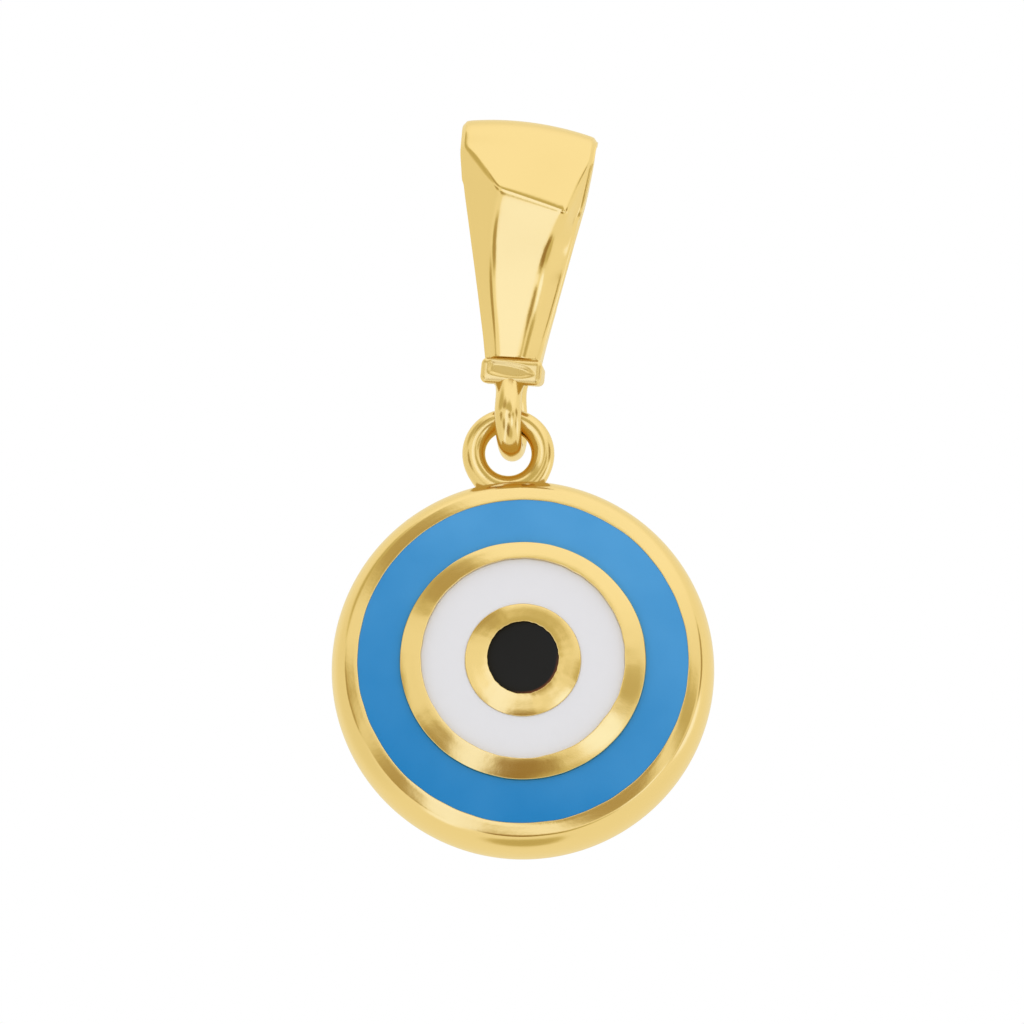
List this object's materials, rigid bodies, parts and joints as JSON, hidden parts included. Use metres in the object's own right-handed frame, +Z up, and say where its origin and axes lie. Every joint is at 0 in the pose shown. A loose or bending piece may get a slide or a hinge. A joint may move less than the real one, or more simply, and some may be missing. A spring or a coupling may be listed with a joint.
{
  "type": "evil eye pendant",
  "caption": "Gold pendant with a faceted bail and hanging loop, from which a round setting with blue, white and dark enamel rings swings by its eyelet.",
  "frame": {"origin": "the chain seat: the top of the passage inside the bail's fold, where the pendant hangs on its chain", "axes": "+Z up as it hangs, -Y towards the enamelled front, +X to the viewer's right"},
  "size_m": [0.01, 0.003, 0.0198],
  "materials": {
    "gold": "polished yellow gold",
    "blue_enamel": "smooth enamel, softly mottled",
    "white_enamel": "smooth enamel",
    "pupil_enamel": "glossy enamel"
  },
  "bodies": {
    "bail": {"bail": "gold"},
    "charm": {"setting": "gold", "blue_enamel": "blue_enamel", "white_enamel": "white_enamel", "pupil_enamel": "pupil_enamel"}
  },
  "joints": [
    {"name": "charm_swing", "type": "hinge", "parent": "bail", "child": "charm", "pos_m": [-0.00059, -0.00021, -0.0077], "axis": [0.9965, 0, -0.0837], "range_deg": [-135, 135]}
  ]
}
